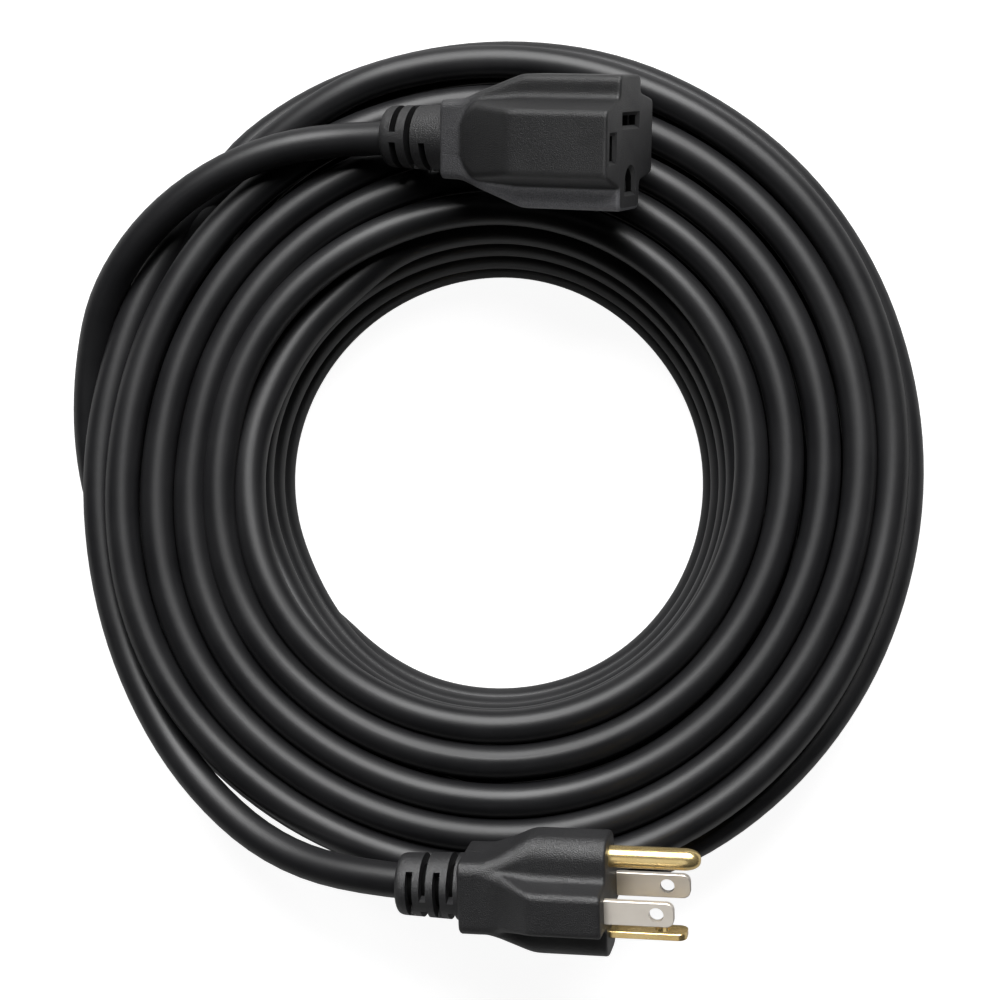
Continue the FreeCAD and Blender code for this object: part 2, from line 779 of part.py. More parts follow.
PLUG_ROUTE = [
    (-50.4, -88.2, 36.6),
    (-70.9, -71.3, 29.6),
    (-84.9, -48.4, 26.6),
    (-92.6, -23.2, 25.8),
    (-94.4, 3.4, 25.8),
    (-89.6, 28.9, 25.8),
    (-80.8, 49.4, 25.8),
    (-69.25, 65.57, 25.8),
]
CONNECTOR_ROUTE = [
    (-54.6, 72.6, 41.6),
    (-77.0, 60.6, 37.6),
    (-92.7, 43.6, 28.0),
    (-99.3, 25.5, 19.6),
    (-98.9, 6.5, 14.6),
    (-94.7, -11.2, 13.9),
]
outer_turn_end = size("outer_turn_start") + size("outer_turn_sweep")
join_face = on_ring(size("plug_join_step"), outer_turn_end, size("plug_join_height"))
lead("plug", plug_place, PLUG_ROUTE, join_face)
tuck_face = on_ring(size("tuck_step"), size("tuck_start"), size("tuck_height"))
lead("connector", connector_place, CONNECTOR_ROUTE, tuck_face)

doc.recompute()
for thing in doc.Objects:
    if "Invalid" in thing.State or "Error" in thing.State:
        raise ValueError(f"{thing.Name}: {thing.State}")
os.makedirs("parts", exist_ok=True)
for label, piece in nodes.items():
    if piece.Shape.isNull() or not piece.Shape.isValid() or len(piece.Shape.Solids) != 1:
        raise ValueError(f"{label} is not one valid solid")
    piece.Shape.exportStep(f"parts/{label}.step")
print(len(nodes), "nodes; bend radii", bend_radii)
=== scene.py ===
import math
import bpy
import bmesh
from mathutils import Matrix, Vector


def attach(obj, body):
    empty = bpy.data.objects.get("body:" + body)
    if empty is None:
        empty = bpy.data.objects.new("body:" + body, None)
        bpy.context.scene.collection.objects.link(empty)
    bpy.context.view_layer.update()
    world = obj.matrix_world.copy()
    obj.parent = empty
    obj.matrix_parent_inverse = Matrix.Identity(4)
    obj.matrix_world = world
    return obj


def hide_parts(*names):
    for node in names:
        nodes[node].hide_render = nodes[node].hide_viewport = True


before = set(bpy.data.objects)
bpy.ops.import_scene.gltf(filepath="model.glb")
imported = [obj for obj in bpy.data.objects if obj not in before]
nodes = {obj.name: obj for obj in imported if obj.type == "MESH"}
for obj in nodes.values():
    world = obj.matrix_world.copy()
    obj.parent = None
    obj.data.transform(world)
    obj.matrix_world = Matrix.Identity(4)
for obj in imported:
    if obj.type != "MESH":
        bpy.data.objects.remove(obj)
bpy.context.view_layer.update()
scene = bpy.context.scene

# The coil's middle
COIL = Vector((0.0011, 0.0049, 0.0))

# The camera looks almost straight down, from a little to the front and the right
AIM = COIL + Vector((0.0005, -0.00654, 0.017))
CAMERA_SIDE = Vector((0.047, -0.1045, 0.9934)).normalized()
CAMERA_DISTANCE = 0.536
camera = bpy.data.objects.new("camera", bpy.data.cameras.new("camera"))
scene.collection.objects.link(camera)
camera.data.sensor_width = 36.0
camera.data.lens = 81.06
camera.data.clip_start = 0.01
right = Vector((0, 1, 0)).cross(CAMERA_SIDE).normalized()
facing = Matrix((right, CAMERA_SIDE.cross(right), CAMERA_SIDE)).transposed().to_4x4()
camera.matrix_world = Matrix.Translation(AIM + CAMERA_SIDE * CAMERA_DISTANCE) @ facing
scene.camera = camera

# The cord: from the connector by a loose lead into the coil, round it, and by a lead to the plug
CORD = 0.0078
CORD_SIDES = 24
JACKET_IN_CONNECTOR = 0.0192
JACKET_IN_PLUG = 0.0191
STRAIGHT = 0.006
PLUG_TAIL = Vector((-0.0189, -0.0899, 0.046719))
PLUG_OUT = Vector((0.985191, -0.0316, 0.165048)).normalized()
CONNECTOR_TAIL = Vector((-0.0225, 0.08, 0.04358))
CONNECTOR_OUT = Vector((0.937213, -0.125051, 0.325568))
CONNECTOR_ROUTE = [
    (-0.0546, 0.0726, 0.0416),
    (-0.0770, 0.0606, 0.0376),
    (-0.0927, 0.0436, 0.0280),
    (-0.0981, 0.0252, 0.0196),
    (-0.0989, 0.0065, 0.0146),
    (-0.0947, -0.0112, 0.0139),
]
PLUG_ROUTE = [
    (-0.06925, 0.06557, 0.0258),
    (-0.0808, 0.0494, 0.0258),
    (-0.0896, 0.0289, 0.0258),
    (-0.0944, 0.0034, 0.0258),
    (-0.0926, -0.0232, 0.0258),
    (-0.0849, -0.0484, 0.0266),
    (-0.0709, -0.0713, 0.0296),
    (-0.0504, -0.0886, 0.0366),
]
# The coil, from here on in millimetres and degrees: four levels in five columns, and a layer on top
PER_TURN = 24
COIL_START = 194.0
COIL_END = 128.0
LEVELS = 4
COLUMNS = [4, 3, 2, 1, 0]
RISE = 7.3
BOTTOM = 1000 * CORD / 2
TOP = BOTTOM + RISE * LEVELS
# How quickly the cord moves on to the next level or column, as a share of a turn
LEVEL_STEP = 1 / 6
COLUMN_STEP = 1 / 12
# The first quarter turn comes in from outside and sinks to the bottom
TUCK_HEIGHT = 13.9
TUCK_RADIUS = 94.6
TUCK_LIMIT = 94.0
TUCK_TURNS = 0.22
# The top layer's turns from the inside out, their radii in millimetres every 60 degrees from 225 degrees
TOP_START = 225.0
TOP_TURNS = [
    (60.0, 60.5, 59.0, 60.0, 60.5, 63.3),
    (67.5, 68.5, 67.0, 68.5, 68.5, 69.4),
    (75.3, 77.5, 75.5, 77.0, 76.5, 77.3),
    (83.2, 85.5, 83.5, 86.0, 86.0, 85.7),
    (91.0, 93.5, 91.0, 94.5, 96.0, 93.5),
]
TOP_RADII = [radius for turn in TOP_TURNS for radius in turn]
# The strand that climbs from the wall of the hole to the top, before its first turn there
CLIMB = [(123, 55.4), (153, 55.8), (184, 57.7), (214, 59.3), (225, 60.0)]
CLIMB_SWEEP = 105.0
# The innermost strand's radius on each level, and how much less it is at the back
INNER = [(54.1, 0.7), (55.6, 1.4), (57.2, 1.5), (58.5, 1.4)]
# The hole isn't quite round
INNER_SHIFT = [
    (-60, 0.0), (0, -1.0), (30, -1.0), (86, 0.5), (120, 0.3), (180, 0.3), (212, -0.9), (255, 0.0), (300, 0.0),
]
# The outermost strands' radius at some angles
OUTER = [
    (-10, 95.4), (13, 95.9), (43, 98.0), (74, 99.2), (105, 98.4), (128, 98.2), (150, 86.0), (200, 85.4),
    (242, 87.5), (268, 97.6), (299, 97.9), (328, 96.3), (350, 95.4),
]


def smoothstep(value):
    """A value between 0 and 1, eased at both ends."""
    value = min(1.0, max(0.0, value))
    return value * value * (3 - 2 * value)


def along(table, angle):
    """The value of a table of (angle, value) at an angle, eased between its rows."""
    for (before, low), (after, high) in zip(table, table[1:]):
        if angle <= after:
            return low + (high - low) * smoothstep((angle - before) / (after - before))
    return table[-1][1]


def low_radius(column, level, angle):
    """The radius of a turn in the lower layers, whose columns lie closer together on the left."""
    round_angle = (angle + 10) % 360 - 10
    inner = INNER[level][0] - INNER[level][1] * math.sin(math.radians(angle))
    inner += along(INNER_SHIFT, (angle + 60) % 360 - 60)
    return inner + (along(OUTER, round_angle) - inner) * column / COLUMNS[0]


def top_radius(angle):
    """The top layer's radius at an angle from where it begins."""
    place = min(max(angle, 0.0) / 60, len(TOP_RADII) - 1.001)
    before = int(place)
    return TOP_RADII[before] + (TOP_RADII[before + 1] - TOP_RADII[before]) * smoothstep(place - before)


def top_dip(turn, angle):
    """How far a turn of the top layer lies below the others at an angle."""
    if turn == 1:
        return 4.6 * smoothstep(1 - abs(angle - 183) / 52)
    if turn == 4:
        return 2.6 * smoothstep(1 - abs(angle - 360) / 60)
    return 0.0


def in_columns(angle):
    """The radius and height in the lower layers, which wind up one column and down the next."""
    turns = (angle - COIL_START) / 360
    stack = int(turns // LEVELS)
    level_turn = turns % LEVELS
    level = int(level_turn)
    if stack % 2 == 0:
        here = level
        before = max(0, level - 1)
    else:
        here = LEVELS - 1 - level
        before = min(LEVELS - 1, LEVELS - level)
    into = smoothstep((level_turn - level) / (LEVEL_STEP if level else COLUMN_STEP))
    radius = low_radius(COLUMNS[stack], here, angle)
    last = radius
    if level:
        last = low_radius(COLUMNS[stack], before, angle)
    elif stack:
        last = low_radius(COLUMNS[stack - 1], here, angle)
    radius = last + (radius - last) * into
    z = BOTTOM + RISE * (before + (here - before) * into)
    if turns < 0.25:
        fall = smoothstep(turns / TUCK_TURNS)
        z = TUCK_HEIGHT + (BOTTOM - TUCK_HEIGHT) * fall
        radius = TUCK_RADIUS + (radius - TUCK_RADIUS) * fall if radius > TUCK_LIMIT else TUCK_RADIUS
    return radius, z


def on_top(angle):
    """The radius and height in the top layer or on the way up to it, at an angle from where it begins."""
    if angle < 0:
        return along(CLIMB, TOP_START + angle), TOP - RISE * (1 - smoothstep(1 + angle / CLIMB_SWEEP))
    turn = int(angle / 360)
    return top_radius(angle), TOP - top_dip(turn, TOP_START + angle - 360 * turn)


def coil_points():
    """Points round the coil, as radius, angle and height."""
    low_turns = LEVELS * len(COLUMNS)
    top_start = 360 * low_turns + TOP_START
    climb_start = 360 * low_turns + CLIMB[0][0]
    end = 360 * (low_turns + len(TOP_TURNS)) + COIL_END
    steps = int(round((end - COIL_START) / 360 * PER_TURN))
    points = []
    for step in range(1, steps):
        angle = COIL_START + (end - COIL_START) * step / steps
        radius, z = in_columns(angle) if angle < climb_start else on_top(angle - top_start)
        points.append((radius, angle, z))
    return points


def on_coil(radius, angle, height):
    """A point in metres; it stands a little further out, because the curve runs inside its points."""
    turned = math.radians(angle)
    spread = radius / math.cos(math.pi / PER_TURN) / 1000
    return COIL + Vector((spread * math.cos(turned), spread * math.sin(turned), height / 1000))


def cord_line():
    """The cord's centreline, finely cut."""
    points = [CONNECTOR_TAIL + CONNECTOR_OUT * JACKET_IN_CONNECTOR, CONNECTOR_TAIL - CONNECTOR_OUT * STRAIGHT]
    points += [COIL + Vector(point) for point in CONNECTOR_ROUTE]
    points += [on_coil(*point) for point in coil_points()]
    points += [COIL + Vector(point) for point in PLUG_ROUTE]
    points += [PLUG_TAIL - PLUG_OUT * STRAIGHT, PLUG_TAIL + PLUG_OUT * JACKET_IN_PLUG]
    curve = bpy.data.curves.new("cord line", "CURVE")
    curve.dimensions = "3D"
    spline = curve.splines.new("NURBS")
    spline.points.add(len(points) - 1)
    for point, place in zip(spline.points, points):
        point.co = (*place, 1.0)
    spline.order_u = 3
    spline.use_endpoint_u = True
    spline.resolution_u = 6
    line = bpy.data.objects.new("cord line", curve)
    mesh = bpy.data.meshes.new_from_object(line)
    path = [vertex.co.copy() for vertex in mesh.vertices]
    bpy.data.objects.remove(line)
    return path


def tube(name, path, radius, sides):
    """A closed tube round a line, with the length along it and the way round it as its UV map."""
    frames = []
    across = Vector((0, 0, 1))
    for step, point in enumerate(path):
        tangent = (path[min(step + 1, len(path) - 1)] - path[max(step - 1, 0)]).normalized()
        across = (across - tangent * across.dot(tangent)).normalized()
        frames.append((point, across.copy(), tangent.cross(across)))
    mesh = bmesh.new()
    rings = []
    for point, first, second in frames:
        ring = []
        for side in range(sides):
            turned = 2 * math.pi * side / sides
            outward = first * math.cos(turned) + second * math.sin(turned)
            ring.append(mesh.verts.new(point + radius * outward))
        rings.append(ring)
    layer = mesh.loops.layers.uv.new("along")
    length = 0.0
    for step, (low, high) in enumerate(zip(rings, rings[1:])):
        reach = length + (path[step + 1] - path[step]).length
        for side in range(sides):
            after = (side + 1) % sides
            face = mesh.faces.new((low[side], low[after], high[after], high[side]))
            face.smooth = True
            places = ((length, side), (length, side + 1), (reach, side + 1), (reach, side))
            for loop, (distance, turn) in zip(face.loops, places):
                loop[layer].uv = (distance, turn / sides)
        length = reach
    mesh.faces.new(rings[0][::-1])
    mesh.faces.new(rings[-1])
    mesh.normal_update()
    data = bpy.data.meshes.new(name)
    mesh.to_mesh(data)
    mesh.free()
    piece = bpy.data.objects.new(name, data)
    scene.collection.objects.link(piece)
    return piece


cord_path = cord_line()
cord = tube("cord", cord_path, CORD / 2, CORD_SIDES)
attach(cord, "root")
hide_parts("cord_coil", "cord_lead_plug", "cord_lead_connector")


# The two mouldings, drawn in millimetres in their own frames: x out of the tail, z up out of the coil
PLUG_UP = Vector((-0.17125, -0.314548, 0.933667))
CONNECTOR_UP = Vector((-0.347997, -0.273684, 0.896658))
AROUND = 320


def moulding_frame(tail, out, upward):
    """Takes a moulding's own millimetres into the scene."""
    across = upward.cross(out).normalized()
    turned = Matrix((out, across, out.cross(across))).transposed().to_4x4()
    return Matrix.Translation(tail) @ turned @ Matrix.Scale(0.001, 4)


PLUG_FRAME = moulding_frame(PLUG_TAIL, PLUG_OUT, PLUG_UP)
CONNECTOR_FRAME = moulding_frame(CONNECTOR_TAIL, CONNECTOR_OUT, CONNECTOR_UP)


def piece_of(name, mesh, place, *replaced):
    """A piece from a bmesh in a moulding's frame; it takes the place of CAD nodes and rides on the body."""
    bmesh.ops.transform(mesh, matrix=place, verts=mesh.verts)
    bmesh.ops.recalc_face_normals(mesh, faces=mesh.faces)
    data = bpy.data.meshes.new(name)
    mesh.to_mesh(data)
    mesh.free()
    piece = bpy.data.objects.new(name, data)
    scene.collection.objects.link(piece)
    if replaced:
        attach(piece, "root")
        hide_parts(*replaced)
    return piece


def loft(rings):
    """A closed bmesh through rings of as many points each."""
    mesh = bmesh.new()
    rows = [[mesh.verts.new(point) for point in ring] for ring in rings]
    for low, high in zip(rows, rows[1:]):
        for step in range(len(low)):
            after = (step + 1) % len(low)
            face = mesh.faces.new((low[step], low[after], high[after], high[step]))
            face.smooth = True
    mesh.faces.new(rows[0][::-1])
    mesh.faces.new(rows[-1])
    return mesh


def box_distance(y, z, half_width, half_height, corner):
    """How far a point lies outside a rounded rectangle; less than nothing inside it."""
    over_y = abs(y) - half_width + corner
    over_z = abs(z) - half_height + corner
    return math.hypot(max(over_y, 0), max(over_z, 0)) + min(max(over_y, over_z), 0) - corner


def joined(first, second, fillet):
    """Two distances as one, with a fillet where they meet."""
    near = max(fillet - abs(first - second), 0) / fillet
    return min(first, second) - near * near * fillet / 4


def eased(stations, x, column):
    """A column of the stations at x, with the kinks between them rounded off."""
    total = 0.0
    for shift in (-1.0, -0.5, 0.0, 0.5, 1.0):
        place = min(max(x + shift, stations[0][0]), stations[-1][0])
        for before, after in zip(stations, stations[1:]):
            if place <= after[0]:
                part = (place - before[0]) / (after[0] - before[0])
                total += before[column] + (after[column] - before[column]) * part
                break
    return total / 5


def slab_painted_light(x, y):
    """How much a moulding's slab and neck are painted lighter at a place, as painted light; the lower side,
    which lies in the ridge's shadow, gets more of it.
    """
    if y < 0:
        return 0.8 + 2.0 * smoothstep((x - 22) / 6)
    return 0.8 - 0.8 * smoothstep((x - 21) / 6)


def section(stations, x, inset, shifts):
    """A moulding's outline at x: a slab joined to a ridge on both broad sides; each point has its amount of
    painted light.
    """
    slab_y, slab_z, slab_corner, ridge_y, ridge_z, draft, ridge_corner, fillet = [
        eased(stations, x, column) for column in range(1, 9)
    ]
    ring = []
    for step in range(AROUND):
        turned = 2 * math.pi * step / AROUND
        along_y = math.cos(turned)
        along_z = math.sin(turned)
        low = 0.0
        high = 24.0
        for _ in range(18):
            reach = (low + high) / 2
            y = reach * along_y
            z = reach * along_z
            slab = box_distance(y, z, slab_y, slab_z, slab_corner)
            lean = draft if z > 0 else 0.6 * draft
            narrowing = lean * max(0.0, abs(z) - slab_z) / max(0.1, ridge_z - slab_z)
            ridge = box_distance(y - shifts[z < 0], z, ridge_y - narrowing, ridge_z, ridge_corner)
            if joined(slab, ridge, fillet) < -inset:
                low = reach
            else:
                high = reach
        ring.append((x, low * along_y, low * along_z, slab_painted_light(x, y) if slab <= ridge + 0.02 else 0.0))
    return ring


def loft_of(sections):
    """A closed bmesh through a moulding's sections."""
    return loft([[point[:3] for point in ring] for ring in sections])


def moulded(stations, shifts, edge=0.7, spacing=0.45, end_painted_light=0.3):
    """A moulding's outer form through its stations, with rounded edges at both ends."""
    tail = stations[0][0]
    face = stations[-1][0]
    length = face - tail - 2 * edge
    places = []
    for step in range(6):
        turned = math.pi / 2 * step / 5
        places.append((tail + edge * (1 - math.cos(turned)), edge * (1 - math.sin(turned))))
    rows = int(length / spacing)
    places += [(tail + edge + length * row / rows, 0) for row in range(1, rows)]
    for step in range(6):
        turned = math.pi / 2 * step / 5
        places.append((face - edge * (1 - math.sin(turned)), edge * (1 - math.cos(turned))))
    rings = [section(stations, x, inset, shifts) for x, inset in places]
    mesh = loft_of(rings)
    # Painted light: each face keeps how much lighter its base colour is painted, and the end caps get one
    # fixed amount.
    painted_light = mesh.faces.layers.float.new("painted_light")
    painted_light_marks = [point[3] for ring in rings for point in ring]
    mesh.verts.index_update()
    for face in mesh.faces:
        is_end = len(face.verts) > 4
        face[painted_light] = end_painted_light if is_end else sum(painted_light_marks[vertex.index] for vertex in face.verts) / 4
    return mesh


def crisp(piece, degrees=38):
    """Keeps the edges sharp at which faces meet at more than an angle."""
    mesh = bmesh.new()
    mesh.from_mesh(piece.data)
    for face in mesh.faces:
        face.smooth = True
    for edge in mesh.edges:
        edge.smooth = edge.calc_face_angle(0) < math.radians(degrees)
    mesh.to_mesh(piece.data)
    mesh.free()


def cut_out(piece, cutter):
    """Takes a closed piece out of another one."""
    modifier = piece.modifiers.new("cut", "BOOLEAN")
    modifier.operation = "DIFFERENCE"
    modifier.solver = "EXACT"
    modifier.object = cutter
    bpy.context.view_layer.update()
    data = bpy.data.meshes.new_from_object(piece.evaluated_get(bpy.context.evaluated_depsgraph_get()))
    piece.modifiers.clear()
    piece.data = data
    bpy.data.objects.remove(cutter)


# x, slab's half width, half height and corner, ridge's half width, half height, draft and corner, fillet
PLUG_FACE = 47.0
PLUG_STATIONS = [
    (14.6, 8.1, 8.2, 2.4, 8.1, 8.2, 0.0, 2.4, 0.3),
    (20.0, 8.2, 8.2, 2.4, 8.1, 8.2, 0.0, 2.4, 0.3),
    (23.0, 9.4, 7.6, 2.8, 7.0, 8.6, 0.3, 2.0, 0.8),
    (29.8, 13.2, 6.4, 4.2, 5.4, 13.2, 0.4, 1.4, 1.8),
    (31.4, 13.5, 6.4, 4.4, 5.2, 14.2, 0.4, 1.4, 1.8),
    (PLUG_FACE, 13.5, 6.4, 4.4, 5.2, 14.2, 0.4, 1.4, 1.8),
]
CONNECTOR_FACE = 58.7
CONNECTOR_STATIONS = [
    (15.9, 8.8, 7.7, 1.8, 4.0, 7.6, 0.0, 1.8, 0.3),
    (20.6, 8.9, 7.7, 1.8, 4.0, 7.6, 0.0, 1.8, 0.5),
    (21.2, 9.1, 7.7, 1.8, 4.5, 7.7, 0.2, 1.6, 0.5),
    (22.4, 9.6, 7.6, 1.8, 6.8, 8.5, 0.4, 1.6, 0.6),
    (25.0, 10.8, 7.5, 1.8, 8.9, 10.0, 0.8, 1.4, 1.0),
    (34.6, 14.6, 6.7, 1.8, 9.7, 14.8, 2.6, 1.2, 1.5),
    (36.0, 14.8, 6.7, 1.8, 9.8, 15.0, 2.7, 1.2, 1.5),
    (CONNECTOR_FACE, 14.8, 6.7, 1.8, 9.8, 15.0, 2.7, 1.2, 1.5),
]
# How far the upper and the lower ridge stand off the middle
PLUG_SHIFTS = (-0.35, 0.0)
CONNECTOR_SHIFTS = (0.0, 1.1)

plug_form = moulded(PLUG_STATIONS, PLUG_SHIFTS)
plug_cover = piece_of("plug_cover", plug_form, PLUG_FRAME, "plug_overmould")
connector_form = moulded(CONNECTOR_STATIONS, CONNECTOR_SHIFTS)
connector_cover = piece_of("connector_cover", connector_form, CONNECTOR_FRAME, "connector_overmould")
# The bridge fills the plug's front, a wall's thickness inside its cover
COVER_WALL = 1.2
BRIDGE_PLACES = (34.0, 39.5, 45.0)
bridge_form = loft_of([section(PLUG_STATIONS, x, COVER_WALL, PLUG_SHIFTS) for x in BRIDGE_PLACES])
plug_bridge = piece_of("plug_bridge", bridge_form, PLUG_FRAME, "plug_inner_bridge")


OPENING_DEPTH = 9.0
OPENING_BEVEL = 0.8


def opening(outline, past=0.5):
    """A cutter for an opening with a bevelled mouth; outline gives its points for a margin all round."""
    rings = [
        [(CONNECTOR_FACE - OPENING_DEPTH, y, z) for y, z in outline(0)],
        [(CONNECTOR_FACE - OPENING_BEVEL, y, z) for y, z in outline(0)],
        [(CONNECTOR_FACE + past, y, z) for y, z in outline(OPENING_BEVEL + past)],
    ]
    return loft(rings)


def slot_outline(y, z, half_y, half_z):
    """A slot's corners round its middle."""
    return lambda margin: [
        (y + side_y * (half_y + margin), z + side_z * (half_z + margin))
        for side_y, side_z in ((-1, -1), (1, -1), (1, 1), (-1, 1))
    ]


def arch_outline(y, z, radius, foot):
    """A half round on a straight foot towards the lower side."""

    def outline(margin):
        points = [(foot - margin, z - radius - margin), (foot - margin, z + radius + margin)]
        for step in range(17):
            turned = math.pi * step / 16
            reach = radius + margin
            points.append((y + reach * math.sin(turned), z + reach * math.cos(turned)))
        return points

    return outline


OPENINGS = [
    slot_outline(4.9, -0.3, 1.1, 4.9),
    slot_outline(-0.9, 10.9, 2.7, 1.5),
    arch_outline(-8.4, -0.6, 2.8, -10.8),
]
for outline in OPENINGS:
    cut_out(connector_cover, piece_of("opening", opening(outline), CONNECTOR_FRAME))
crisp(connector_cover)
crisp(plug_cover)


def in_opening(centre):
    """Whether a face lies on a deep wall of an opening, which gets painted shade."""
    x, y, z = centre
    if not CONNECTOR_FACE - OPENING_DEPTH - 0.2 <= x <= CONNECTOR_FACE - OPENING_BEVEL - 0.05:
        return False
    for outline in OPENINGS:
        across, upward = zip(*outline(0.1))
        if min(across) < y < max(across) and min(upward) < z < max(upward):
            return True
    return False


RELIEF_EDGE = 1.6
RELIEF_STEP = 0.4
RELIEF_ROUND = 2.2
SLOT_WIDTH = 1.5
SLOT_WALL = 0.04
SLOT_FLOOR = 4.6


def relief(length, tail_radius, front_radius, rings):
    """A strain relief: a tapered sleeve whose slots are given as x, width, and spans of degrees."""
    lines = [(0.0, 0.62), (0.12, 0.72), (0.45, 0.88), (1.0, 0.97), (RELIEF_EDGE, 1.0)]
    rows = int((length - RELIEF_EDGE) / RELIEF_STEP)
    steady = [RELIEF_EDGE + RELIEF_STEP * row for row in range(1, rows + 1)]
    for x, width, _ in rings:
        for wall in (x, x + width):
            steady += [wall - SLOT_WALL, wall + SLOT_WALL]
    lines += [(x, 1.0) for x in sorted(steady + [length])]
    drawn = []
    for x, factor in lines:
        outer = tail_radius + (front_radius - tail_radius) * x / length
        ring = []
        for step in range(AROUND):
            degrees = 360 * step / AROUND
            radius = outer - (1 - factor) * RELIEF_ROUND
            for start, width, spans in rings:
                in_span = any((degrees - low) % 360 < high - low for low, high in spans)
                if in_span and start < x < start + width:
                    radius = SLOT_FLOOR
            turned = math.radians(degrees)
            ring.append((x, radius * math.cos(turned), radius * math.sin(turned)))
        drawn.append(ring)
    return loft(drawn)


def slot_rings(first, pitch, spans):
    """Rings of slots at a pitch, each with its own spans."""
    return [(first + number * pitch, SLOT_WIDTH, ring_spans) for number, ring_spans in enumerate(spans)]


# Each ring's spans in degrees, from the tail
PLUG_SPANS = 2 * [[(47, 155), (227, 335)], [(-54, 101), (126, 281)]]
CONNECTOR_SPANS = [[(-82, 78), (98, 258)], [(10, 166), (190, 346)], [(98, 175), (278, 355)]]
plug_slots = slot_rings(first=2.6, pitch=3.1, spans=PLUG_SPANS)
plug_sleeve = relief(length=15.0, tail_radius=6.8, front_radius=7.4, rings=plug_slots)
plug_relief = piece_of("plug_relief", plug_sleeve, PLUG_FRAME, "plug_strain_relief")
connector_slots = slot_rings(first=3.0, pitch=3.75, spans=CONNECTOR_SPANS)
connector_sleeve = relief(length=16.4, tail_radius=7.0, front_radius=7.6, rings=connector_slots)
connector_relief = piece_of("connector_relief", connector_sleeve, CONNECTOR_FRAME, "connector_strain_relief")
for piece in (plug_relief, connector_relief):
    crisp(piece)


# The plug's metal
POLE = 8.5
BLADE_WIDTH = 5.4
BLADE_THICKNESS = 1.52
BLADE_CORNER = 1.7
BLADE_EDGE = 0.14
BLADE_ROOT = 3.0
HOLE_RADIUS = 1.6
HOLE_PLACE = 11.2
HOLE_SIDES = 32
PIN_RADIUS = 2.4
PIN_LENGTH = 16.2
PIN_DOME = 3.6
PIN_ROOT = 2.0
PIN_SIDES = 48


def beside(rings, y, z, upright):
    """Rings drawn flat, each point as x, across and height, set at a pole; upright has across along y."""
    if upright:
        return [[(x, y + across, z + height) for x, across, height in ring] for ring in rings]
    return [[(x, y - height, z + across) for x, across, height in ring] for ring in rings]


def circle(radius, sides):
    """Points round a circle."""
    steps = [2 * math.pi * step / sides for step in range(sides)]
    return [(radius * math.cos(turned), radius * math.sin(turned)) for turned in steps]


def blade(name, y, z, upright, length=16.6):
    """A blade with rounded tip corners and a hole, its edges a little broken."""
    half = BLADE_WIDTH / 2
    tip = PLUG_FACE + length
    outline = [(PLUG_FACE - BLADE_ROOT, -half)]
    for side in (-1, 1):
        for step in range(7):
            turned = math.pi / 2 * (step / 6 if side == -1 else 1 - step / 6)
            x = tip - BLADE_CORNER * (1 - math.sin(turned))
            outline.append((x, side * (half - BLADE_CORNER * (1 - math.cos(turned)))))
    outline.append((PLUG_FACE - BLADE_ROOT, half))
    rings = []
    for side, inset in ((-1, BLADE_EDGE), (-1, 0), (1, 0), (1, BLADE_EDGE)):
        height = side * (BLADE_THICKNESS / 2 - (0 if inset else BLADE_EDGE))
        scale = 1 - inset / half
        rings.append([(x - inset if x > PLUG_FACE else x, across * scale, height) for x, across in outline])
    node = name.replace("prong", "plug_blade")
    piece = piece_of(name, loft(beside(rings, y, z, upright)), PLUG_FRAME, node)
    middle = PLUG_FACE + HOLE_PLACE
    reach = BLADE_THICKNESS / 2 + 1
    hole = [
        [(middle + forward, across, height) for forward, across in circle(HOLE_RADIUS, HOLE_SIDES)]
        for height in (-reach, reach)
    ]
    cut_out(piece, piece_of("hole", loft(beside(hole, y, z, upright)), PLUG_FRAME))
    crisp(piece, 25)
    return piece


def ground_pin():
    """The round pin with its domed tip."""
    dome = PLUG_FACE + PIN_LENGTH
    outline = [(PLUG_FACE - PIN_ROOT, PIN_RADIUS), (dome, PIN_RADIUS)]
    for step in range(1, 13):
        turned = math.pi / 2 * step / 12
        outline.append((dome + PIN_DOME * math.sin(turned), max(0.05, PIN_RADIUS * math.cos(turned) ** 0.75)))
    rings = [[(x, POLE + y, z) for y, z in circle(radius, PIN_SIDES)] for x, radius in outline]
    piece = piece_of("ground_prong", loft(rings), PLUG_FRAME, "plug_ground_pin")
    crisp(piece, 60)
    return piece


blades = {
    "prong_line_x": blade("prong_line_x", -0.7, POLE, upright=True, length=15.0),
    "prong_line_y": blade("prong_line_y", -1.0, -POLE, upright=True, length=16.3),
    "prong_neutral": blade("prong_neutral", -POLE, 0.0, upright=False),
}
pin = ground_pin()


# Materials
def shader_of(name, colour, roughness, metal=0.0, specular=0.5):
    """A new material with its node tree and its shader."""
    material = bpy.data.materials.new(name)
    material.use_nodes = True
    shader = material.node_tree.nodes["Principled BSDF"]
    shader.inputs["Base Color"].default_value = (*colour, 1)
    shader.inputs["Roughness"].default_value = roughness
    shader.inputs["Metallic"].default_value = metal
    shader.inputs["Specular IOR Level"].default_value = specular
    return material, material.node_tree, shader


def noise(tree, scale, detail=3.0, stretch=None, source="Object"):
    """A noise texture; stretch makes it longer one way."""
    place = tree.nodes.new("ShaderNodeTexCoord")
    mapping = tree.nodes.new("ShaderNodeMapping")
    if stretch:
        mapping.inputs["Scale"].default_value = stretch
    texture = tree.nodes.new("ShaderNodeTexNoise")
    texture.inputs["Scale"].default_value = scale
    texture.inputs["Detail"].default_value = detail
    tree.links.new(place.outputs[source], mapping.inputs["Vector"])
    tree.links.new(mapping.outputs["Vector"], texture.inputs["Vector"])
    return texture.outputs["Fac"]


def spread(tree, value, low, high, start=0.3, end=0.7):
    """Maps a noise from its usual range to another one."""
    mapped = tree.nodes.new("ShaderNodeMapRange")
    mapped.inputs["From Min"].default_value = start
    mapped.inputs["From Max"].default_value = end
    mapped.inputs["To Min"].default_value = low
    mapped.inputs["To Max"].default_value = high
    tree.links.new(value, mapped.inputs["Value"])
    return mapped.outputs["Result"]


